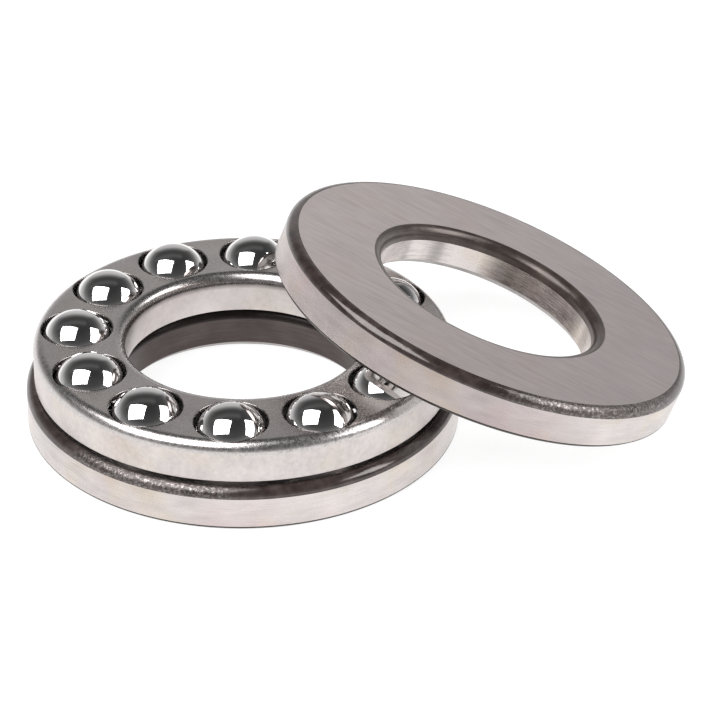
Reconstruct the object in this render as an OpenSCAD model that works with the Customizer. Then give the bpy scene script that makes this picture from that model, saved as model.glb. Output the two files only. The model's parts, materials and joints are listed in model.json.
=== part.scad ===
// Single-direction thrust ball bearing, partly taken apart.
// The housing washer lies on a table with the caged balls on it.
// The shaft washer is lifted off and leans beside them, its toe on the table.
// Origin: centre of the housing washer's bore, halfway up the washer. +Z up.

/* [Housing washer] */
// Outside diameter of the housing washer
housing_od = 47; // [46.6:0.1:47.4]
// Bore diameter of the housing washer, larger than the shaft
housing_bore_d = 27; // [26.6:0.1:27.4]

/* [Shaft washer] */
// Outside diameter of the shaft washer, a little under the housing washer
shaft_od = 46.8; // [46.4:0.1:47]
// Bore diameter of the shaft washer, the shaft size of the bearing
shaft_bore_d = 25; // [24.6:0.1:25.4]

/* [Both washers] */
// Thickness of each washer
washer_h = 4.7; // [4.6:0.05:4.8]
// Radius of the large rounded corners on the upper edges
corner_r = 1.05; // [0.7:0.05:1.2]
// Width of the small break on the lower outside edges
edge_break = 0.25; // [0.1:0.05:0.4]
// Width of the chamfer on the lower edge of each bore
bore_break = 0.65; // [0.6:0.05:0.8]

/* [Balls] */
// Diameter of a ball
ball_d = 7.938; // [7.8:0.01:7.95]
// Radius of the circle of ball centres
pitch_r = 18; // [17.9:0.05:18.1]
// Angle of the first ball about the bearing axis
ball_phase = 25.8; // [0:0.1:29.9]
// Height of the seated bearing over both washers
bearing_h = 15; // [14.95:0.05:15.1]
// Gap between a resting ball and the bottom of its groove
ball_gap = 0.03; // [0.02:0.01:0.06]

/* [Cage] */
// Inside diameter of the pressed cage
cage_bore_d = 25.5; // [25.3:0.1:25.7]
// Outside diameter of the pressed cage
cage_od = 45.2; // [45.2:0.1:45.4]
// Height of the cage's turned-in lower edge above the table
cage_foot_z = 5.25; // [5.1:0.05:5.3]
// Height of the cage's flat top above the table
cage_top_z = 9.65; // [9.6:0.05:9.8]
// Thickness of the cage's sheet steel
sheet_t = 0.5; // [0.4:0.02:0.5]
// Outside radius of the two upper bends
bend_r = 1.2; // [0.9:0.1:1.4]
// Diameter of a ball pocket in the flat top
pocket_d = 7.8; // [7.7:0.02:7.86]
// Width of the turned-in lower lips
lip_w = 0.85; // [0.7:0.05:0.9]

/* [Resting place of the shaft washer] */
// Lean of the shaft washer from level
lean = 20.6; // [20.2:0.1:21.5]
// Direction of its low side about the bearing axis
lean_dir = 7.6; // [6:0.2:9]
// Sideways shift of its underside's centre
shift_x = 25.35; // [25.3:0.05:26]
// Shift of its underside's centre towards the back
shift_y = 3.9; // [3.6:0.05:4.2]

/* [Hidden] */
$fn = 128;

ball_count = 12;
ball_r = ball_d / 2;
table_z = -washer_h / 2;
ball_z = bearing_h / 2;
// Raceway groove: a little slacker than the ball
groove_r = 0.535 * ball_d;
groove_depth = washer_h - (ball_z - ball_r) + ball_gap;
// Underside centre of the leaning washer, so that its toe meets the table
shift_z = (shaft_od / 2 - edge_break) * sin(lean);

// Waste outside a rounded corner whose centre is [0, 0], towards +X +Y
module corner_waste(r) {
    difference() {
        square(r + 1);
        circle(r);
    }
}

// Half section of a washer: x is the radius, y the height
module washer_section(r_in, r_out) {
    difference() {
        translate([r_in, 0]) square([r_out - r_in, washer_h]);
        translate([r_out - corner_r, washer_h - corner_r]) corner_waste(corner_r);
        translate([r_in + corner_r, washer_h - corner_r]) mirror([1, 0]) corner_waste(corner_r);
        translate([r_out, 0]) rotate(45) square(edge_break * sqrt(2), center = true);
        translate([r_in, 0]) rotate(45) square(bore_break * sqrt(2), center = true);
    }
}

// Ring with the section above and a raceway groove in one face
module washer(r_in, r_out, groove_on_top) {
    groove_y = groove_on_top ? washer_h - groove_depth + groove_r
                             : groove_depth - groove_r;
    rotate_extrude() difference() {
        washer_section(r_in, r_out);
        translate([pitch_r, groove_y]) circle(groove_r);
    }
}

// Filled channel section with two rounded upper corners
module channel(r_in, r_out, lo, hi, r) {
    difference() {
        translate([r_in, lo]) square([r_out - r_in, hi - lo]);
        translate([r_out - r, hi - r]) corner_waste(r);
        translate([r_in + r, hi - r]) mirror([1, 0]) corner_waste(r);
    }
}

module cage_section() {
    r_in = cage_bore_d / 2;
    r_out = cage_od / 2;
    difference() {
        channel(r_in, r_out, cage_foot_z, cage_top_z, bend_r);
        channel(r_in + sheet_t, r_out - sheet_t, cage_foot_z - 1,
                cage_top_z - sheet_t, bend_r - sheet_t);
    }
    // Lower lips that hold the balls in
    translate([r_in, cage_foot_z]) square([lip_w, sheet_t]);
    translate([r_out - lip_w, cage_foot_z]) square([lip_w, sheet_t]);
}

module at_ball(i) {
    rotate([0, 0, ball_phase + i * 360 / ball_count])
        translate([pitch_r, 0, ball_z]) children();
}

module ball(i) {
    color([0.86, 0.87, 0.88]) translate([0, 0, table_z]) at_ball(i) sphere(d = ball_d);
}

module housing_washer() {
    color([0.72, 0.70, 0.68]) translate([0, 0, table_z])
        washer(housing_bore_d / 2, housing_od / 2, true);
}

module shaft_washer() {
    color([0.66, 0.63, 0.62])
        translate([shift_x, shift_y, table_z + shift_z])
            rotate([0, 0, lean_dir]) rotate([0, lean, 0])
                washer(shaft_bore_d / 2, shaft_od / 2, false);
}

module cage() {
    color([0.45, 0.45, 0.46]) translate([0, 0, table_z]) difference() {
        rotate_extrude() cage_section();
        for (i = [0 : ball_count - 1])
            at_ball(i) cylinder(d = pocket_d, h = cage_top_z);
    }
}

module ball_01() { ball(0); }
module ball_02() { ball(1); }
module ball_03() { ball(2); }
module ball_04() { ball(3); }
module ball_05() { ball(4); }
module ball_06() { ball(5); }
module ball_07() { ball(6); }
module ball_08() { ball(7); }
module ball_09() { ball(8); }
module ball_10() { ball(9); }
module ball_11() { ball(10); }
module ball_12() { ball(11); }

housing_washer();
shaft_washer();
cage();
ball_01();
ball_02();
ball_03();
ball_04();
ball_05();
ball_06();
ball_07();
ball_08();
ball_09();
ball_10();
ball_11();
ball_12();
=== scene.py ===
import json
import math
import bpy
from mathutils import Matrix, Vector, noise


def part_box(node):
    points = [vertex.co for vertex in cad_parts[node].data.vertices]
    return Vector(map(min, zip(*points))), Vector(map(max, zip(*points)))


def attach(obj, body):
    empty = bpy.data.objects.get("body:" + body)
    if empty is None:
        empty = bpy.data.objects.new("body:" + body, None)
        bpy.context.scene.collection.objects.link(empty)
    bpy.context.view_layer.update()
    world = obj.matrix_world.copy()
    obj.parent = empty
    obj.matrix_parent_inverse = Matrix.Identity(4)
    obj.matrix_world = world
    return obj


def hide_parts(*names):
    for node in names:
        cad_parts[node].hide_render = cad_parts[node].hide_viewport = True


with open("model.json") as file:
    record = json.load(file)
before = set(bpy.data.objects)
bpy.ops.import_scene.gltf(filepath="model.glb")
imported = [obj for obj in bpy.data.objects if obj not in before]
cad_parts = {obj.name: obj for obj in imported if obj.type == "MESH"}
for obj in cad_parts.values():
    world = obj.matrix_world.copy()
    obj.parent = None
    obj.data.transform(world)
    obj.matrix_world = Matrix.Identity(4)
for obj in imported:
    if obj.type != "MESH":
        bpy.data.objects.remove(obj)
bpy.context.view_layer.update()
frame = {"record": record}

MM = 0.001
joints = {j["name"]: j for j in frame["record"]["behaviour"]["joints"]}

# ---------------------------------------------------------------- dimensions, mm
hb = [[v / MM for v in c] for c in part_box("housing_washer")]
TABLE_Z = hb[0][2]
WASHER_H = hb[1][2] - hb[0][2]
H_OUT = (hb[1][0] - hb[0][0]) / 2
cb = [[v / MM for v in c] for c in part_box("cage")]
C_OUT = (cb[1][0] - cb[0][0]) / 2
C_LO, C_HI = cb[0][2], cb[1][2]
C_IN = 12.75
SHEET = 0.5
BEND = 1.2
POCKET_R = 3.9
LIP = 0.85
b1 = [[v / MM for v in c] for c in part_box("ball_01")]
BALL_R = 7.938 / 2
PITCH = 18.0
BALL_Z = (b1[0][2] + b1[1][2]) / 2
H_IN = 13.5
S_OUT = 23.4
S_IN = 12.5
CORNER = 1.05
EDGE = 0.25
BORE_BREAK = 0.65
GROOVE_R = 0.535 * 2 * BALL_R
GROOVE_D = WASHER_H - (BALL_Z - TABLE_Z - BALL_R) + 0.03

# ---------------------------------------------------------------- camera
scene = bpy.context.scene
el, yaw, pitch, roll = 0.55408, -0.04044, -0.018177, -0.009032
dist = 0.3080994
right = Vector((1, 0, 0))
fwd = Vector((0, math.cos(el), -math.sin(el)))
up = right.cross(fwd)
base = Matrix((right, -up, fwd))
ry = Matrix(((math.cos(yaw), 0, math.sin(yaw)), (0, 1, 0), (-math.sin(yaw), 0, math.cos(yaw))))
rx = Matrix(((1, 0, 0), (0, math.cos(pitch), -math.sin(pitch)), (0, math.sin(pitch), math.cos(pitch))))
rz = Matrix(((math.cos(roll), -math.sin(roll), 0), (math.sin(roll), math.cos(roll), 0), (0, 0, 1)))
rows = rz @ rx @ ry @ base
cam_data = bpy.data.cameras.new("camera")
cam_data.sensor_width = 36.0
cam_data.lens = 2808.0 / 714.0 * 36.0
cam_data.clip_start = 0.01
cam_data.clip_end = 50.0
cam = bpy.data.objects.new("camera", cam_data)
scene.collection.objects.link(cam)
m = Matrix((rows[0], -rows[1], -rows[2])).transposed().to_4x4()
m.translation = Vector((0, -dist * math.cos(el), dist * math.sin(el) + TABLE_Z * MM))
cam.matrix_world = m
scene.camera = cam
scene.view_settings.view_transform = "Standard"
scene.view_settings.look = "None"
scene.view_settings.exposure = 0.0
scene.view_settings.gamma = 1.0


# ---------------------------------------------------------------- node helpers
class Nodes:
    def __init__(self, tree):
        self.t = tree
        self.t.nodes.clear()

    def add(self, kind, **props):
        n = self.t.nodes.new(kind)
        ins = props.pop("ins", {})
        for k, v in props.items():
            setattr(n, k, v)
        for k, v in ins.items():
            s = n.inputs[k]
            if isinstance(v, bpy.types.NodeSocket):
                self.t.links.new(v, s)
            else:
                s.default_value = v
        return n

    def math(self, op, a, b=None, clamp=False):
        n = self.t.nodes.new("ShaderNodeMath")
        n.operation = op
        n.use_clamp = clamp
        for i, v in enumerate((a, b)):
            if v is None:
                continue
            if isinstance(v, bpy.types.NodeSocket):
                self.t.links.new(v, n.inputs[i])
            else:
                n.inputs[i].default_value = v
        return n.outputs[0]

    def noise(self, vec, scale, detail=3.0, rough=0.5, dist=0.0):
        n = self.add("ShaderNodeTexNoise", ins={"Scale": scale, "Detail": detail, "Roughness": rough, "Distortion": dist})
        self.t.links.new(vec, n.inputs["Vector"])
        return n.outputs["Fac"]

    def mapping(self, vec, scale=(1, 1, 1), rot=(0, 0, 0), loc=(0, 0, 0)):
        n = self.add("ShaderNodeMapping")
        self.t.links.new(vec, n.inputs["Vector"])
        n.inputs["Scale"].default_value = scale
        n.inputs["Rotation"].default_value = rot
        n.inputs["Location"].default_value = loc
        return n.outputs[0]

    def ramp(self, fac, stops, interp="LINEAR"):
        n = self.t.nodes.new("ShaderNodeValToRGB")
        n.color_ramp.interpolation = interp
        e = n.color_ramp.elements
        while len(e) < len(stops):
            e.new(0.5)
        for i, (p, c) in enumerate(stops):
            e[i].position = p
            e[i].color = (c, c, c, 1) if isinstance(c, (int, float)) else (*c, 1)
        self.t.links.new(fac, n.inputs[0])
        return n.outputs[0]

    def mix(self, fac, a, b, blend="MIX"):
        n = self.t.nodes.new("ShaderNodeMix")
        n.data_type = "RGBA"
        n.blend_type = blend
        for s, v in ((n.inputs[0], fac), (n.inputs[6], a), (n.inputs[7], b)):
            if isinstance(v, bpy.types.NodeSocket):
                self.t.links.new(v, s)
            elif isinstance(v, (int, float)):
                s.default_value = v
            else:
                s.default_value = (*v, 1)
        return n.outputs[2]

    def mapr(self, v, a, b, c, d):
        n = self.t.nodes.new("ShaderNodeMapRange")
        self.t.links.new(v, n.inputs[0])
        for i, x in enumerate((a, b, c, d)):
            n.inputs[i + 1].default_value = x
        return n.outputs[0]

    def bump(self, height, strength, distance, normal=None):
        n = self.t.nodes.new("ShaderNodeBump")
        n.inputs["Strength"].default_value = strength
        n.inputs["Distance"].default_value = distance
        self.t.links.new(height, n.inputs["Height"])
        if normal is not None:
            self.t.links.new(normal, n.inputs["Normal"])
        return n.outputs[0]


def material(name, metallic=1.0):
    mat = bpy.data.materials.new(name)
    mat.use_nodes = True
    n = Nodes(mat.node_tree)
    out = n.add("ShaderNodeOutputMaterial")
    bs = n.add("ShaderNodeBsdfPrincipled")
    bs.inputs["Metallic"].default_value = metallic
    n.t.links.new(bs.outputs[0], out.inputs[0])
    # each mesh carries its own coordinates in millimetres, z along its axis
    co = n.add("ShaderNodeAttribute", attribute_name="own_mm").outputs["Vector"]
    return mat, n, bs, co


def set_in(n, bs, name, v):
    if isinstance(v, bpy.types.NodeSocket):
        n.t.links.new(v, bs.inputs[name])
    else:
        bs.inputs[name].default_value = v


def ring_coords(n, co, around, across):
    """Coordinates that change slowly round the axis, and fast along the axis and the radius."""
    s = n.add("ShaderNodeSeparateXYZ")
    n.t.links.new(co, s.inputs[0])
    x, y, z = s.outputs
    r = n.math("SQRT", n.math("ADD", n.math("MULTIPLY", x, x), n.math("MULTIPLY", y, y)))
    c = n.add("ShaderNodeCombineXYZ")
    n.t.links.new(n.math("MULTIPLY", x, around), c.inputs[0])
    n.t.links.new(n.math("MULTIPLY", y, around), c.inputs[1])
    n.t.links.new(n.math("MULTIPLY", n.math("ADD", z, r), across), c.inputs[2])
    return c.outputs[0], r, z


# ---------------------------------------------------------------- materials
def tint(v, warm=0.0):
    """Steel grey with the photo's slight pinkish cast."""
    return (v * (1.0 + 0.5 * warm), v * (0.925 - 0.1 * warm), v * (0.90 - 0.35 * warm))


def mottle(n, co, col, amount):
    """Slow, faint patches of warmer and cooler steel."""
    w = n.noise(n.mapping(co, loc=(13, 4, 8)), 0.13, 3, 0.55)
    w2 = n.noise(n.mapping(co, loc=(2, 31, 5)), 0.10, 3, 0.55)
    col = n.mix(n.mapr(w, 0.50, 0.68, 0.0, amount), col, (1.0, 0.93, 0.78), "MULTIPLY")
    return n.mix(n.mapr(w2, 0.50, 0.68, 0.0, amount), col, (0.98, 0.90, 0.92), "MULTIPLY")


def ground_cylinder(name="ground_wall", shade_stretch=None):
    """Bright outside walls, ground round the axis; the second argument gives the angle and half width of a stretch
    painted darker as shade.
    """
    mat, n, bs, co = material(name)
    rc, r, z = ring_coords(n, co, 0.16, 4.2)
    fine = n.noise(rc, 2.2, 4, 0.6)
    rc2, _, _ = ring_coords(n, co, 0.30, 1.1)
    mid = n.noise(rc2, 0.9, 3, 0.5)
    blot = n.noise(co, 0.13, 3, 0.55)
    tone = n.math("ADD", n.math("MULTIPLY", fine, 0.28), n.math("ADD", n.math("MULTIPLY", mid, 0.27), n.math("MULTIPLY", blot, 0.45)))
    col = n.ramp(tone, [(0.36, tint(0.50)), (0.5, tint(0.61)), (0.62, tint(0.70))])
    col = mottle(n, co, col, 0.75)
    if shade_stretch:
        # painted shade: this stretch of the wall is painted darker
        mask = patch_mask(n, co, shade_stretch[0], shade_stretch[1], 35.0)
        col = n.mix(mask, col, n.mix(1.0, col, (0.76, 0.73, 0.735), "MULTIPLY"))
    set_in(n, bs, "Base Color", col)
    set_in(n, bs, "Roughness", n.mapr(fine, 0.3, 0.7, 0.22, 0.34))
    nb = n.bump(fine, 0.22, 0.00001)
    set_in(n, bs, "Normal", n.bump(mid, 0.2, 0.00003, nb))
    return mat


def shaft_bore():
    """Bright honed bore with soft light and dark patches painted in as reflections of the surroundings."""
    mat, n, bs, co = material("honed_bore_painted_reflections")
    rc, r, z = ring_coords(n, co, 0.20, 3.2)
    fine = n.noise(rc, 2.0, 4, 0.6)
    # painted reflection: broad light and dark patches stand for the surroundings mirrored in the bore
    painted_reflection_patch = n.noise(n.mapping(co, scale=(1, 1, 0.25), loc=(6, 3, 0)), 0.21, 2, 0.45)
    tone = n.math("ADD", n.math("MULTIPLY", fine, 0.22), n.math("MULTIPLY", painted_reflection_patch, 0.78))
    col = n.ramp(tone, [(0.38, tint(0.30)), (0.47, tint(0.48)), (0.56, tint(0.74))])
    set_in(n, bs, "Base Color", mottle(n, co, col, 0.5))
    set_in(n, bs, "Roughness", n.mapr(fine, 0.3, 0.7, 0.20, 0.32))
    set_in(n, bs, "Normal", n.bump(fine, 0.25, 0.00001))
    return mat


def ground_flat(angle):
    """Back face with straight parallel grinding lines."""
    mat, n, bs, co = material("ground_face", 0.06)
    a = n.mapping(co, rot=(0, 0, angle))
    lines = n.noise(n.mapping(a, scale=(0.10, 2.2, 1)), 1.6, 4, 0.66)
    waves = n.noise(n.mapping(a, scale=(0.22, 1.25, 1), loc=(3.1, 1.7, 0)), 1.3, 3, 0.55, 0.25)
    blot = n.noise(co, 0.09, 3, 0.55)
    tone = n.math("ADD", n.math("MULTIPLY", lines, 0.42), n.math("ADD", n.math("MULTIPLY", waves, 0.36), n.math("MULTIPLY", blot, 0.22)))
    col = n.ramp(tone, [(0.36, (0.260, 0.228, 0.223)), (0.5, (0.320, 0.281, 0.275)), (0.64, (0.376, 0.331, 0.324))])
    col = mottle(n, co, col, 0.25)
    # painted shade: one side of the face is painted darker, in a gradient across it made ragged by the blotches
    s = n.add("ShaderNodeSeparateXYZ")
    n.t.links.new(co, s.inputs[0])
    side = n.math("ADD", n.math("ADD", s.outputs[0], n.math("MULTIPLY", s.outputs[1], -0.6)), n.mapr(blot, 0.3, 0.7, -6.0, 6.0))
    col = n.mix(n.mapr(side, -22.0, 22.0, 0.0, 1.0), col, n.mix(1.0, col, (0.77, 0.77, 0.78), "MULTIPLY"))
    set_in(n, bs, "Base Color", col)
    set_in(n, bs, "Roughness", n.mapr(lines, 0.3, 0.7, 0.30, 0.42))
    nb = n.bump(lines, 0.25, 0.00001)
    set_in(n, bs, "Normal", n.bump(waves, 0.25, 0.00003, nb))
    return mat


def patch_mask(n, co, angle, half, soft=12.0):
    """1 within half degrees of an angle round the axis, fading out over soft degrees, ragged at the ends."""
    s = n.add("ShaderNodeSeparateXYZ")
    n.t.links.new(co, s.inputs[0])
    x, y, z = s.outputs
    r = n.math("SQRT", n.math("ADD", n.math("MULTIPLY", x, x), n.math("MULTIPLY", y, y)))
    a = math.radians(angle)
    d = n.math("DIVIDE", n.math("ADD", n.math("MULTIPLY", x, math.cos(a)), n.math("MULTIPLY", y, math.sin(a))), r)
    d = n.math("ADD", d, n.math("MULTIPLY", n.math("SUBTRACT", n.noise(co, 0.35, 3, 0.6), 0.5), 0.10))
    return n.mapr(d, math.cos(math.radians(half + soft)), math.cos(math.radians(half)), 0.0, 1.0)


def dark_corner(name, angle, half):
    """Rounded corners left dark by heat treatment; over one stretch the scale is worn to bright flecks."""
    mat, n, bs, co = material(name)
    soft = n.noise(co, 0.8, 4, 0.55)
    rc, r, z = ring_coords(n, co, 1.0, 2.6)
    fleck = n.noise(rc, 3.0, 4, 0.7)
    mask = patch_mask(n, co, angle, half)
    col = n.ramp(soft, [(0.34, (0.036, 0.025, 0.023)), (0.5, (0.054, 0.039, 0.036)), (0.68, (0.082, 0.062, 0.056))])
    fl = n.math("MULTIPLY", n.mapr(fleck, 0.49, 0.60, 0.0, 1.0), mask)
    col = n.mix(n.math("MULTIPLY", fl, 0.75), col, (0.36, 0.33, 0.32))
    set_in(n, bs, "Metallic", n.mapr(fl, 0.0, 1.0, 0.28, 0.9))
    set_in(n, bs, "IOR", 1.72)
    set_in(n, bs, "Base Color", col)
    rough = n.math("ADD", n.mapr(soft, 0.3, 0.7, 0.12, 0.19), n.math("MULTIPLY", mask, 0.12))
    set_in(n, bs, "Roughness", rough)
    nb = n.bump(n.math("MULTIPLY", fleck, n.mapr(mask, 0.0, 1.0, 0.04, 1.0)), 0.7, 0.00006)
    set_in(n, bs, "Normal", n.bump(soft, 0.08, 0.00003, nb))
    return mat


def dark_inner(name, k, metallic, ior):
    """Inner corners: soft dark brown scale with faint turned streaks."""
    mat, n, bs, co = material(name)
    rc, r, z = ring_coords(n, co, 0.22, 3.4)
    streak = n.noise(rc, 1.5, 4, 0.6)
    soft = n.noise(co, 0.5, 3, 0.55)
    tone = n.math("ADD", n.math("MULTIPLY", streak, 0.55), n.math("MULTIPLY", soft, 0.45))
    set_in(n, bs, "Base Color", n.ramp(tone, [(0.36, (0.045 * k, 0.032 * k, 0.028 * k)), (0.5, (0.075 * k, 0.055 * k, 0.048 * k)), (0.66, (0.125 * k, 0.098 * k, 0.085 * k))]))
    set_in(n, bs, "Metallic", metallic)
    set_in(n, bs, "IOR", ior)
    set_in(n, bs, "Roughness", n.mapr(soft, 0.3, 0.7, 0.27, 0.36))
    set_in(n, bs, "Normal", n.bump(streak, 0.25, 0.00002))
    return mat


def edge_steel():
    """Thin dark breaks on the lower edges: partly the break's own dark steel, partly painted shadow along the
    bottom.
    """
    mat, n, bs, co = material("edge_break")
    nz = n.noise(co, 2.0, 4, 0.6)
    set_in(n, bs, "Base Color", n.ramp(nz, [(0.3, (0.020, 0.016, 0.014)), (0.7, (0.065, 0.055, 0.050))]))
    set_in(n, bs, "Roughness", n.mapr(nz, 0.3, 0.7, 0.3, 0.45))
    set_in(n, bs, "Normal", n.bump(nz, 0.3, 0.00003))
    return mat


def bore_chamfer():
    mat, n, bs, co = material("bore_chamfer")
    rc, r, z = ring_coords(n, co, 0.2, 3.0)
    nz = n.noise(rc, 1.6, 4, 0.6)
    set_in(n, bs, "Base Color", n.ramp(nz, [(0.3, tint(0.26)), (0.7, tint(0.48))]))
    set_in(n, bs, "Roughness", n.mapr(nz, 0.3, 0.7, 0.3, 0.42))
    set_in(n, bs, "Normal", n.bump(nz, 0.3, 0.00002))
    return mat


def bore_dark():
    """The housing washer's bore, turned and left brownish by heat treatment."""
    mat, n, bs, co = material("turned_bore")
    rc, r, z = ring_coords(n, co, 0.16, 2.6)
    nz = n.noise(rc, 1.8, 4, 0.6)
    blot = n.noise(co, 0.16, 3, 0.6)
    tone = n.math("ADD", n.math("MULTIPLY", nz, 0.45), n.math("MULTIPLY", blot, 0.55))
    set_in(n, bs, "Base Color", n.ramp(tone, [(0.36, (0.072, 0.058, 0.056)), (0.5, (0.092, 0.075, 0.072)), (0.64, (0.118, 0.099, 0.093))]))
    set_in(n, bs, "Roughness", n.mapr(nz, 0.3, 0.7, 0.26, 0.38))
    set_in(n, bs, "Normal", n.bump(nz, 0.3, 0.00002))
    return mat


def raceway():
    """Polished groove with faint lines round the axis."""
    mat, n, bs, co = material("raceway")
    rc, r, z = ring_coords(n, co, 0.05, 7.0)
    nz = n.noise(rc, 2.4, 4, 0.6)
    set_in(n, bs, "Base Color", n.ramp(nz, [(0.3, (0.70, 0.68, 0.67)), (0.7, (0.84, 0.82, 0.81))]))
    set_in(n, bs, "Roughness", n.mapr(nz, 0.3, 0.7, 0.10, 0.18))
    set_in(n, bs, "Normal", n.bump(nz, 0.2, 0.000006))
    return mat


def turned_land():
    mat, n, bs, co = material("turned_land")
    rc, r, z = ring_coords(n, co, 0.06, 5.0)
    nz = n.noise(rc, 2.0, 4, 0.6)
    set_in(n, bs, "Base Color", n.ramp(nz, [(0.3, tint(0.30)), (0.7, tint(0.50))]))
    set_in(n, bs, "Roughness", n.mapr(nz, 0.3, 0.7, 0.28, 0.40))
    set_in(n, bs, "Normal", n.bump(nz, 0.4, 0.000015))
    return mat


def cage_top():
    """Flat top of the pressed cage: satin grey sheet with a fine even grain."""
    mat, n, bs, co = material("cage_sheet_top")
    grain = n.noise(co, 3.4, 4, 0.7)
    blot = n.noise(co, 0.2, 3, 0.6)
    tone = n.math("ADD", n.math("MULTIPLY", grain, 0.55), n.math("MULTIPLY", blot, 0.45))
    col = n.ramp(tone, [(0.38, (0.545, 0.508, 0.497)), (0.5, (0.63, 0.590, 0.577)), (0.62, (0.71, 0.672, 0.658))])
    set_in(n, bs, "Base Color", mottle(n, co, col, 0.25))
    set_in(n, bs, "Roughness", n.mapr(grain, 0.3, 0.7, 0.22, 0.32))
    set_in(n, bs, "Normal", n.bump(grain, 0.18, 0.00001))
    return mat


def painted_shade_line(n, co, col):
    """A dark line painted round the inside of the cage, just below its inner bend, as painted shade."""
    rc, r, z = ring_coords(n, co, 1.0, 1.0)
    zc = C_HI - BEND
    up = n.mapr(z, zc - 0.45, zc + 0.05, 0.0, 1.0)
    down = n.mapr(z, zc + 0.25, zc + 0.75, 1.0, 0.0)
    m = n.math("MULTIPLY", n.math("MULTIPLY", up, down), n.mapr(r, C_IN + 0.5, C_IN + 0.9, 1.0, 0.0))
    wob = n.mapr(n.noise(co, 0.5, 3, 0.6), 0.3, 0.7, 0.75, 1.0)
    # painted shade: the line is darkened to about a third of the sheet colour
    return n.mix(n.math("MULTIPLY", m, wob), col, n.mix(1.0, col, (0.33, 0.31, 0.31), "MULTIPLY"))


def cage_wall():
    mat, n, bs, co = material("cage_sheet_wall")
    fine = n.noise(co, 1.7, 4, 0.62)
    soft = n.noise(co, 0.22, 3, 0.55)
    tone = n.math("ADD", n.math("MULTIPLY", fine, 0.5), n.math("MULTIPLY", soft, 0.5))
    col = n.ramp(tone, [(0.38, tint(0.55)), (0.5, tint(0.63)), (0.62, tint(0.70))])
    # with the painted shade line below the inner bend
    set_in(n, bs, "Base Color", painted_shade_line(n, co, mottle(n, co, col, 0.4)))
    set_in(n, bs, "Roughness", n.mapr(fine, 0.3, 0.7, 0.28, 0.38))
    set_in(n, bs, "Normal", n.bump(tone, 0.15, 0.00003))
    return mat


def cage_bend():
    """The drawn bends, with the fine grain of stretched sheet."""
    mat, n, bs, co = material("cage_sheet_bend")
    grain = n.noise(co, 2.6, 4, 0.66)
    mask = n.mapr(patch_mask(n, co, -70, 22), 0.0, 1.0, 0.12, 1.0)
    col = n.ramp(grain, [(0.32, (0.50, 0.475, 0.465)), (0.5, (0.585, 0.555, 0.545)), (0.68, (0.66, 0.63, 0.62))])
    pit = n.math("MULTIPLY", n.mapr(n.noise(n.mapping(co, loc=(5, 2, 9)), 3.6, 3, 0.66), 0.54, 0.68, 0.0, 1.0), mask)
    col = n.mix(n.math("MULTIPLY", pit, 0.6), col, tint(0.22))
    # with the painted shade line below the inner bend
    set_in(n, bs, "Base Color", painted_shade_line(n, co, col))
    set_in(n, bs, "Roughness", n.mapr(grain, 0.3, 0.7, 0.22, 0.32))
    set_in(n, bs, "Normal", n.bump(n.math("MULTIPLY", grain, mask), 0.35, 0.00005))
    return mat


def cage_hidden():
    # painted shade: the inside of the channel is the same sheet, painted darker
    mat, n, bs, co = material("cage_sheet_inside_painted_shade")
    grain = n.noise(co, 3.0, 4, 0.6)
    set_in(n, bs, "Base Color", n.ramp(grain, [(0.3, (0.20, 0.19, 0.185)), (0.7, (0.34, 0.33, 0.325))]))
    set_in(n, bs, "Roughness", n.mapr(grain, 0.3, 0.7, 0.4, 0.55))
    set_in(n, bs, "Normal", n.bump(grain, 0.3, 0.00003))
    return mat


def pocket_edge():
    mat, n, bs, co = material("pocket_edge")
    grain = n.noise(co, 3.0, 4, 0.6)
    set_in(n, bs, "Base Color", n.ramp(grain, [(0.3, tint(0.26)), (0.7, tint(0.46))]))
    set_in(n, bs, "Roughness", n.mapr(grain, 0.3, 0.7, 0.22, 0.34))
    set_in(n, bs, "Normal", n.bump(grain, 0.2, 0.00002))
    return mat


def mirror_ball():
    mat, n, bs, co = material("polished_ball")
    smear = n.noise(n.mapping(co, scale=(1, 0.5, 1.4)), 0.6, 3, 0.6, 0.6)
    micro = n.noise(co, 6.0, 3, 0.6)
    set_in(n, bs, "Base Color", n.ramp(smear, [(0.3, (0.80, 0.785, 0.78)), (0.7, (0.88, 0.865, 0.86))]))
    rough = n.math("ADD", n.mapr(smear, 0.4, 0.7, 0.03, 0.07), n.mapr(micro, 0.4, 0.7, 0.0, 0.012))
    set_in(n, bs, "Roughness", rough)
    set_in(n, bs, "Normal", n.bump(micro, 0.06, 0.000003))
    return mat


M_WALL = ground_cylinder()
# the shaft washer's wall gets a stretch of painted shade
M_WALL_S = ground_cylinder("ground_wall_shaft", (-150, 50))
M_FACE = ground_flat(math.radians(30))
M_DARK_H = dark_corner("oxide_corner_housing", -116, 16)
M_DARK_S = dark_corner("oxide_corner_shaft", -68, 20)
M_EDGE = edge_steel()
# the housing washer's inner corner is oxide, painted much darker as the shade in the gap under the cage
M_INNER_H = dark_inner("oxide_and_painted_shade_bore_corner_housing", 0.30, 0.3, 1.4)
M_INNER_S = dark_inner("oxide_bore_corner_shaft", 0.9, 0.5, 1.75)
M_CHAM = bore_chamfer()
M_BORE = bore_dark()
M_SBORE = shaft_bore()
M_RACE = raceway()
M_LAND = turned_land()
M_BALL = mirror_ball()
CAGE_MATS = [cage_top(), cage_bend(), cage_wall(), pocket_edge(), cage_hidden()]


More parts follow.
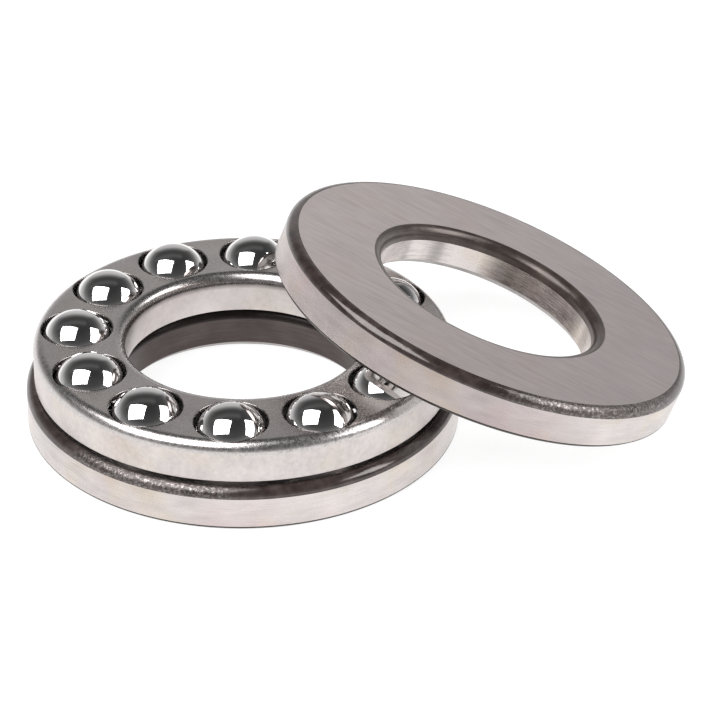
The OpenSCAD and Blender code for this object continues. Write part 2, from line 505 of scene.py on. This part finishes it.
# ---------------------------------------------------------------- mesh builder
class Builder:
    """Faces with an explicit normal for every corner; corners at one place share a vertex."""

    def __init__(self):
        self.v, self.key, self.f, self.n, self.m = [], {}, [], [], []

    def vert(self, p):
        k = (round(p[0], 5), round(p[1], 5), round(p[2], 5))
        if k not in self.key:
            self.key[k] = len(self.v)
            self.v.append(tuple(p))
        return self.key[k]

    def face(self, pts, nrm, mat):
        idx = [self.vert(p) for p in pts]
        keep = [i for i in range(len(idx)) if idx[i] != idx[i - 1]]
        if len(set(idx[i] for i in keep)) < 3:
            return
        idx, nrm, pts = [idx[i] for i in keep], [nrm[i] for i in keep], [pts[i] for i in keep]
        a, b, c = Vector(pts[0]), Vector(pts[1]), Vector(pts[2])
        g = (b - a).cross(c - a)
        if len(pts) > 3:
            g += (c - a).cross(Vector(pts[3]) - a)
        if g.dot(sum((Vector(x) for x in nrm), Vector())) < 0:
            idx.reverse()
            nrm.reverse()
        self.f.append(idx)
        self.n.append(nrm)
        self.m.append(mat)

    def make(self, name, mats, place=Matrix.Identity(4), own=None):
        me = bpy.data.meshes.new(name)
        me.from_pydata([place @ Vector((x * MM, y * MM, z * MM)) for x, y, z in self.v], [], self.f)
        at = me.attributes.new("own_mm", "FLOAT_VECTOR", "POINT")
        own = own or (lambda q: q)
        at.data.foreach_set("vector", [c for p in self.v for c in own(p)])
        me.polygons.foreach_set("material_index", self.m)
        me.polygons.foreach_set("use_smooth", [True] * len(self.f))
        for mt in mats:
            me.materials.append(mt)
        me.update()
        loops = [None] * len(me.loops)
        turn = place.to_3x3()
        i = 0
        for ns in self.n:
            for x in ns:
                loops[i] = (turn @ Vector(x)).normalized()
                i += 1
        me.normals_split_custom_set(loops)
        ob = bpy.data.objects.new(name, me)
        scene.collection.objects.link(ob)
        return ob


def arc(cx, cz, r, a0, a1, n):
    return [(cx + r * math.cos(a0 + (a1 - a0) * i / n), cz + r * math.sin(a0 + (a1 - a0) * i / n)) for i in range(n + 1)]


def washer_profile(r_in, r_out, groove_top):
    """Closed section of a washer, as segments (points, zone)."""
    h, c = WASHER_H, CORNER
    gw = math.sqrt(GROOVE_R ** 2 - (GROOVE_R - GROOVE_D) ** 2)
    segs = []
    ga = math.asin(gw / GROOVE_R)
    if groove_top:
        segs.append(([(r_in + BORE_BREAK, 0), (r_out - EDGE, 0)], "face"))
    else:
        segs.append(([(r_in + BORE_BREAK, 0), (PITCH - gw, 0)], "land"))
        cz = GROOVE_D - GROOVE_R
        segs.append((arc(PITCH, cz, GROOVE_R, math.pi / 2 + ga, math.pi / 2 - ga, 28), "race"))
        segs.append(([(PITCH + gw, 0), (r_out - EDGE, 0)], "land"))
    segs.append(([(r_out - EDGE, 0), (r_out, EDGE)], "edge"))
    # painted shadow: the lowest strip of the wall takes the dark edge colour, widening the dark line along the
    # bottom
    segs.append(([(r_out, EDGE), (r_out, EDGE + 0.11)], "edge"))
    segs.append(([(r_out, EDGE + 0.11), (r_out, h - c)], "wall"))
    segs.append((arc(r_out - c, h - c, c, 0, math.pi / 2, 12), "dark"))
    if groove_top:
        segs.append(([(r_out - c, h), (PITCH + gw, h)], "land"))
        cz = h - GROOVE_D + GROOVE_R
        segs.append((arc(PITCH, cz, GROOVE_R, -math.pi / 2 + ga, -math.pi / 2 - ga, 28), "race"))
        segs.append(([(PITCH - gw, h), (r_in + c, h)], "land"))
    else:
        segs.append(([(r_out - c, h), (r_in + c, h)], "face"))
    segs.append((arc(r_in + c, h - c, c, math.pi / 2, math.pi, 12), "inner"))
    run = 0.0 if groove_top else 0.45
    if run:
        segs.append(([(r_in, h - c), (r_in, h - c - run)], "run"))
    segs.append(([(r_in, h - c - run), (r_in, BORE_BREAK)], "bore"))
    segs.append(([(r_in, BORE_BREAK), (r_in + BORE_BREAK, 0)], "cham"))
    return segs


def smooth_noise(p, s, seed):
    return noise.noise(Vector((p[0] * s + seed, p[1] * s - seed, p[2] * s)))


def washer(name, r_in, r_out, groove_top, mats, zone_mat, seed, place, n_ang=540):
    b = Builder()
    segs = washer_profile(r_in, r_out, groove_top)
    fine = []
    for pts, zone in segs:
        if len(pts) == 2:
            steps = {"wall": 6, "bore": 6, "face": 10, "land": 3, "edge": 2, "cham": 2, "run": 2}[zone]
            (r0, z0), (r1, z1) = pts
            pts = [(r0 + (r1 - r0) * i / steps, z0 + (z1 - z0) * i / steps) for i in range(steps + 1)]
        fine.append((pts, zone))
    for pts, zone in fine:
        nr = []
        for i in range(len(pts)):
            if zone in ("dark", "inner", "race"):
                a, c = pts[max(i - 1, 0)], pts[min(i + 1, len(pts) - 1)]
                if i == 0 or i == len(pts) - 1:
                    # exact end tangents
                    if zone != "race":
                        outer = zone == "dark"
                        if outer:
                            t = (0, 1) if i == 0 else (-1, 0)
                        else:
                            t = (-1, 0) if i == 0 else (0, -1)
                    else:
                        cz = (WASHER_H - GROOVE_D + GROOVE_R) if groove_top else (GROOVE_D - GROOVE_R)
                        d = (pts[i][0] - PITCH, pts[i][1] - cz)
                        t = (d[1], -d[0]) if groove_top else (-d[1], d[0])
                        t = (-t[0], -t[1])
                else:
                    t = (c[0] - a[0], c[1] - a[1])
            else:
                t = (pts[-1][0] - pts[0][0], pts[-1][1] - pts[0][1])
            ln = math.hypot(*t)
            nr.append((t[1] / ln, -t[0] / ln))
        if zone == "race":
            cz = (WASHER_H - GROOVE_D + GROOVE_R) if groove_top else (GROOVE_D - GROOVE_R)
            nr = [((PITCH - p[0]) / GROOVE_R, (cz - p[1]) / GROOVE_R) for p in pts]
        rows_p, rows_n = [], []
        for (r, z), (nx, nz) in zip(pts, nr):
            rp, rn = [], []
            for k in range(n_ang):
                a = 2 * math.pi * k / n_ang
                ca, sa = math.cos(a), math.sin(a)
                rp.append((r * ca, r * sa, z))
                rn.append((nx * ca, nx * sa, nz))
            rows_p.append(rp)
            rows_n.append(rn)
        if zone in ("dark", "inner"):
            # shallow dents in the scaly corners, always inwards
            for i in range(1, len(pts) - 1):
                w = math.sin(math.pi * i / (len(pts) - 1))
                for k in range(n_ang):
                    p, nn = rows_p[i][k], rows_n[i][k]
                    d = max(0.0, smooth_noise(p, 0.7, seed) - 0.30) * 0.020 + max(0.0, smooth_noise(p, 1.9, seed + 9) - 0.34) * 0.030
                    d *= w
                    rows_p[i][k] = (p[0] - nn[0] * d, p[1] - nn[1] * d, p[2] - nn[2] * d)
            old = rows_p
            new_n = [list(x) for x in rows_n]
            for i in range(1, len(pts) - 1):
                for k in range(n_ang):
                    du = Vector(old[i + 1][k]) - Vector(old[i - 1][k])
                    dv = Vector(old[i][(k + 1) % n_ang]) - Vector(old[i][k - 1])
                    g = dv.cross(du)
                    if g.length > 1e-9:
                        g.normalize()
                        if g.dot(Vector(rows_n[i][k])) < 0:
                            g = -g
                        new_n[i][k] = tuple(g)
            rows_n = new_n
        for i in range(len(pts) - 1):
            for k in range(n_ang):
                k2 = (k + 1) % n_ang
                b.face([rows_p[i][k], rows_p[i][k2], rows_p[i + 1][k2], rows_p[i + 1][k]],
                       [rows_n[i][k], rows_n[i][k2], rows_n[i + 1][k2], rows_n[i + 1][k]], zone_mat[zone])
    return b.make(name, mats, place)


W_MATS = [M_WALL, M_FACE, M_DARK_H, M_EDGE, M_CHAM, M_BORE, M_RACE, M_LAND, M_SBORE, M_INNER_H]
Z_H = {"run": 9, "inner": 9, "wall": 0, "face": 1, "dark": 2, "edge": 3, "cham": 4, "bore": 5, "race": 6, "land": 7}
Z_S = dict(Z_H, bore=8)

housing = washer("housing_ring", H_IN, H_OUT, True, W_MATS, Z_H, 3.3, Matrix.Translation((0, 0, TABLE_Z * MM)))
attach(housing, "housing_washer")
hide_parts("housing_washer")

sj = joints["shaft_washer_spin"]
axis = Vector(sj["axis"]).normalized()
lean_dir = math.atan2(axis.y, axis.x)
lean = math.acos(axis.z)
S_MATS = [{M_DARK_H: M_DARK_S, M_WALL: M_WALL_S, M_INNER_H: M_INNER_S}.get(m, m) for m in W_MATS]
shaft_place = Matrix.Translation(Vector(sj["pos_m"])) @ Matrix.Rotation(lean_dir, 4, "Z") @ Matrix.Rotation(lean, 4, "Y")
shaft = washer("shaft_ring", S_IN, S_OUT, False, S_MATS, Z_S, 8.1, shaft_place)
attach(shaft, "shaft_washer")
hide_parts("shaft_washer")


# ---------------------------------------------------------------- cage
def bj(i):
    return next(j for j in frame["record"]["behaviour"]["joints"] if j["child"] == "ball_%02d" % i)


PHASE = math.atan2(bj(1)["pos_m"][1], bj(1)["pos_m"][0])


def skin(r, inner):
    """Height and profile normal (nr, nz) of the channel's outer or inner skin at radius r."""
    br = BEND - SHEET if inner else BEND
    zc = C_HI - BEND
    ro, ri = C_OUT - BEND, C_IN + BEND
    top = C_HI - (SHEET if inner else 0)
    if r > ro:
        d = min(r - ro, br)
        z, nr = zc + math.sqrt(max(br * br - d * d, 0)), d / br
    elif r < ri:
        d = min(ri - r, br)
        z, nr = zc + math.sqrt(max(br * br - d * d, 0)), -d / br
    else:
        return top, 0.0, 1.0
    return z, nr, math.sqrt(max(1 - nr * nr, 0))


def build_cage():
    b = Builder()
    n_edge = 40
    half = math.pi / 12
    psi_o, psi_i = math.radians(50), math.radians(60)

    def bounds_r(inner):
        br = BEND - SHEET if inner else BEND
        ps = psi_i if inner else psi_o
        return C_IN + BEND - br * math.sin(ps), C_OUT - BEND + br * math.sin(ps)

    def side_radii(inner):
        ra, rb = bounds_r(inner)
        ri, ro = C_IN + BEND, C_OUT - BEND
        out = [ra + (ri - ra) * i / 6 for i in range(6)] + [ri, 15.7, 16.8, 18.0, 19.2, 20.3, ro]
        out += [ro + (rb - ro) * (i + 1) / 6 for i in range(6)]
        return out

    phis = [-half + 2 * half * i / n_edge for i in range(n_edge + 1)]

    def ring(inner):
        ra, rb = bounds_r(inner)
        sides = side_radii(inner)
        loop = [(rb, p) for p in phis[:-1]]
        loop += [(r, half) for r in sides[::-1][:-1]]
        loop += [(ra, p) for p in phis[::-1][:-1]]
        loop += [(r, -half) for r in sides[:-1]]
        return loop

    base_loop = ring(False)
    thetas = [math.atan2(r * math.sin(p), r * math.cos(p) - PITCH) for r, p in base_loop]
    weights = [0.0, 0.02, 0.05, 0.10, 0.17, 0.26, 0.37, 0.50, 0.63, 0.76, 0.88, 1.0]
    fillet = 0.10

    for s in range(12):
        rot = PHASE + s * math.pi / 6
        cr, sr = math.cos(rot), math.sin(rot)

        def place(x, y, z):
            return (x * cr - y * sr, x * sr + y * cr, z)

        for inner in (False, True):
            loop = ring(inner)
            sign = -1.0 if inner else 1.0
            grid_p, grid_n, grid_r = [], [], []
            for w in weights:
                rp, rn, rr = [], [], []
                for (br_, bp), th in zip(loop, thetas):
                    hr = POCKET_R + (0.0 if inner else fillet)
                    hx, hy = PITCH + hr * math.cos(th), hr * math.sin(th)
                    x, y = hx + (br_ * math.cos(bp) - hx) * w, hy + (br_ * math.sin(bp) - hy) * w
                    r = math.hypot(x, y)
                    z, nr, nz = skin(r, inner)
                    rp.append(place(x, y, z))
                    rn.append(place(sign * nr * x / r, sign * nr * y / r, sign * nz))
                    rr.append(r)
                grid_p.append(rp)
                grid_n.append(rn)
                grid_r.append(rr)
            k = len(loop)
            for i in range(len(weights) - 1):
                for j in range(k):
                    j2 = (j + 1) % k
                    rm = (grid_r[i][j] + grid_r[i + 1][j2]) / 2
                    mat = 4 if inner else (1 if (rm > C_OUT - BEND or rm < C_IN + BEND) else 0)
                    b.face([grid_p[i][j], grid_p[i][j2], grid_p[i + 1][j2], grid_p[i + 1][j]],
                           [grid_n[i][j], grid_n[i][j2], grid_n[i + 1][j2], grid_n[i + 1][j]], mat)
            if inner:
                low = [p for p in grid_p[0]]
            else:
                high = [p for p in grid_p[0]]
        # rounded lip of the pocket, then its wall down to the inner skin
        k = len(thetas)
        steps = 4
        rings, norms = [], []
        for i in range(steps + 1):
            a = math.pi / 2 * i / steps
            rp, rn = [], []
            for j, th in enumerate(thetas):
                rr = POCKET_R + fillet * (1 - math.sin(a))
                x, y = PITCH + rr * math.cos(th), rr * math.sin(th)
                if i == 0:
                    p = high[j]
                else:
                    p = place(x, y, high[j][2] - fillet * (1 - math.cos(a)))
                rp.append(p)
                c, s_ = math.cos(th), math.sin(th)
                rn.append(place(-c * math.sin(a), -s_ * math.sin(a), math.cos(a)))
            rings.append(rp)
            norms.append(rn)
        rings.append(low)
        norms.append([place(-math.cos(t), -math.sin(t), 0) for t in thetas])
        for i in range(len(rings) - 1):
            for j in range(k):
                j2 = (j + 1) % k
                b.face([rings[i][j], rings[i][j2], rings[i + 1][j2], rings[i + 1][j]],
                       [norms[i][j], norms[i][j2], norms[i + 1][j2], norms[i + 1][j]], 3)

        # bends, walls and lower lips, on both sides of the channel
        for side in (1, -1):
            rw = C_OUT if side > 0 else C_IN
            rc = rw - side * BEND
            zc = C_HI - BEND

            def bend(br, a0, a1, n):
                return [((rc + side * br * math.sin(a0 + (a1 - a0) * i / n), zc + br * math.cos(a0 + (a1 - a0) * i / n)),
                         (side * math.sin(a0 + (a1 - a0) * i / n), math.cos(a0 + (a1 - a0) * i / n))) for i in range(n + 1)]

            strips = []
            strips.append((bend(BEND, psi_o, math.pi / 2, 6), 1))
            e = 0.08
            wall = [zc + (C_LO + e - zc) * i / 6 for i in range(7)]
            strips.append(([((rw, z), (side, 0)) for z in wall], 2))
            # small round at the lower edge
            strips.append(([((rw - side * e * (1 - math.cos(t)), C_LO + e - e * math.sin(t)), (side * math.cos(t), -math.sin(t)))
                            for t in (0, math.pi / 6, math.pi / 3, math.pi / 2)], 2))
            lip_r = rw - side * LIP
            strips.append(([((rw - side * e, C_LO), (0, -1)), ((lip_r, C_LO), (0, -1))], 4))
            strips.append(([((lip_r, C_LO), (-side, 0)), ((lip_r, C_LO + SHEET), (-side, 0))], 4))
            rin = rw - side * SHEET
            strips.append(([((lip_r, C_LO + SHEET), (0, 1)), ((rin, C_LO + SHEET), (0, 1))], 4))
            strips.append(([((rin, C_LO + SHEET + (zc - C_LO - SHEET) * i / 4), (-side, 0)) for i in range(5)], 4))
            ib = bend(BEND - SHEET, math.pi / 2, psi_i, 5)
            strips.append(([(p, (-n_[0], -n_[1])) for p, n_ in ib], 4))
            for pts, mat in strips:
                for (p0, n0), (p1, n1) in zip(pts[:-1], pts[1:]):
                    for a0, a1 in zip(phis[:-1], phis[1:]):
                        quad, nn = [], []
                        for (r, z), (nr, nz), a in ((p0, n0, a0), (p0, n0, a1), (p1, n1, a1), (p1, n1, a0)):
                            quad.append(place(r * math.cos(a), r * math.sin(a), z))
                            nn.append(place(nr * math.cos(a), nr * math.sin(a), nz))
                        b.face(quad, nn, mat)
    return b.make("cage_shell", CAGE_MATS)


cage = build_cage()
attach(cage, "cage")
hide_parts("cage")


# ---------------------------------------------------------------- balls
def ball_mesh(n=40):
    b = Builder()
    faces = [(Vector((0, 0, 1)), Vector((1, 0, 0)), Vector((0, 1, 0))), (Vector((0, 0, -1)), Vector((1, 0, 0)), Vector((0, -1, 0))),
             (Vector((1, 0, 0)), Vector((0, 1, 0)), Vector((0, 0, 1))), (Vector((-1, 0, 0)), Vector((0, -1, 0)), Vector((0, 0, 1))),
             (Vector((0, 1, 0)), Vector((-1, 0, 0)), Vector((0, 0, 1))), (Vector((0, -1, 0)), Vector((1, 0, 0)), Vector((0, 0, 1)))]
    for c, u, v in faces:
        g = []
        for i in range(n + 1):
            row = []
            for j in range(n + 1):
                a, d = math.tan(math.pi / 4 * (2 * i / n - 1)), math.tan(math.pi / 4 * (2 * j / n - 1))
                row.append((c + u * a + v * d).normalized())
            g.append(row)
        for i in range(n):
            for j in range(n):
                q = [g[i][j], g[i + 1][j], g[i + 1][j + 1], g[i][j + 1]]
                b.face([tuple(x * BALL_R) for x in q], [tuple(x) for x in q], 0)
    return b


for i in range(1, 13):
    b = ball_mesh()
    turn = Matrix.Rotation(i * 2.399, 3, "Z") @ Matrix.Rotation(i * 1.1, 3, "X")
    ob = b.make("polished_ball_%02d" % i, [M_BALL], Matrix.Translation(Vector(bj(i)["pos_m"])),
                lambda q: turn @ Vector(q) + Vector((11.0 * i, 0, 0)))
    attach(ob, "ball_%02d" % i)
    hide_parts("ball_%02d" % i)


# ---------------------------------------------------------------- floor, light
def floor():
    me = bpy.data.meshes.new("floor")
    s, n = 3.0, 8
    vs = [(-s + 2 * s * i / n, -s + 2 * s * j / n, 0) for j in range(n + 1) for i in range(n + 1)]
    fs = [(j * (n + 1) + i, j * (n + 1) + i + 1, (j + 1) * (n + 1) + i + 1, (j + 1) * (n + 1) + i) for j in range(n) for i in range(n)]
    me.from_pydata(vs, [], fs)
    ob = bpy.data.objects.new("floor", me)
    scene.collection.objects.link(ob)
    ob.location = (0, 0, TABLE_Z * MM - 0.00001)
    mat = bpy.data.materials.new("floor_paper")
    mat.use_nodes = True
    n_ = Nodes(mat.node_tree)
    out = n_.add("ShaderNodeOutputMaterial")
    bs = n_.add("ShaderNodeBsdfPrincipled")
    bs.inputs["Base Color"].default_value = (0.24, 0.24, 0.24, 1)
    bs.inputs["Roughness"].default_value = 0.9
    bs.inputs["Specular IOR Level"].default_value = 0.1
    bs.inputs["Emission Color"].default_value = (1, 1, 1, 1)
    bs.inputs["Emission Strength"].default_value = 0.88
    n_.t.links.new(bs.outputs[0], out.inputs[0])
    me.materials.append(mat)
    return ob


floor()

# Studio surround: a bright backdrop that fades upwards behind the part, a dark room on the camera's side.
world = bpy.data.worlds.new("studio")
scene.world = world
world.use_nodes = True
wn = Nodes(world.node_tree)
wout = wn.add("ShaderNodeOutputWorld")
bg = wn.add("ShaderNodeBackground")
gen = wn.add("ShaderNodeTexCoord").outputs["Generated"]
sep = wn.add("ShaderNodeSeparateXYZ")
wn.t.links.new(gen, sep.inputs[0])
wx, wy, wz = sep.outputs
# brightness of the backdrop by how far back a direction points, and near the horizon by its height
deep = wn.ramp(wn.mapr(wy, 0.0, 1.0, 0.0, 1.0),
               [(0.0, 0.04), (0.15, 0.06), (0.27, 0.10), (0.39, 0.085), (0.50, 0.058), (0.64, 0.062), (0.74, 0.145), (0.82, 0.30), (0.87, 0.47), (0.94, 0.57), (1.0, 0.68)])
deep = wn.mix(wn.mapr(wx, 0.32, 0.46, 0.0, 1.0), deep, wn.mix(1.0, deep, (0.5, 0.5, 0.5), "MULTIPLY"))
low = wn.ramp(wz, [(0.0, 1.15), (0.05, 0.86), (0.12, 0.62), (0.25, 0.42), (0.38, 0.18), (0.48, 0.0)])
low = wn.mix(wn.mapr(wy, -0.22, 0.10, 0.0, 1.0), (0.0, 0.0, 0.0), low)
room = wn.ramp(wz, [(0.0, 0.42), (0.25, 0.30), (0.46, 0.13), (0.60, 0.07), (1.0, 0.035)])
side = wn.math("MULTIPLY", wn.mapr(wx, -0.78, -0.93, 0.0, 0.5), wn.mapr(wz, 0.12, 0.32, 1.0, 0.0))
side = wn.ramp(side, [(0.0, 0.0), (1.0, 1.0)])
sky = wn.mix(1.0, wn.mix(1.0, wn.mix(1.0, deep, low, "LIGHTEN"), room, "LIGHTEN"), side, "LIGHTEN")
wn.t.links.new(sky, bg.inputs["Color"])
bg.inputs["Strength"].default_value = 1.0
wn.t.links.new(bg.outputs[0], wout.inputs[0])


def softbox(name, centre, across, distance, w, h, radiance):
    """An area light facing the origin; w and h are its sides at unit distance."""
    z = Vector(centre).normalized()
    x = Vector(across)
    x = (x - z * x.dot(z)).normalized()
    y = z.cross(x)
    li = bpy.data.lights.new(name, "AREA")
    li.shape = "RECTANGLE"
    li.size, li.size_y = w * distance, h * distance
    li.energy = radiance * math.pi * li.size * li.size_y
    ob = bpy.data.objects.new(name, li)
    scene.collection.objects.link(ob)
    ob.matrix_world = Matrix.Translation(z * distance) @ Matrix((x, y, z)).transposed().to_4x4()
    return ob


softbox("softbox_left", (-0.434, -0.278, 0.865), (0.895, -0.350, 0.275), 0.7, 0.86, 0.80, 5.5)
softbox("softbox_right", (0.807, -0.097, 0.583), (0.566, 0.407, -0.716), 0.7, 0.46, 0.80, 5.5)
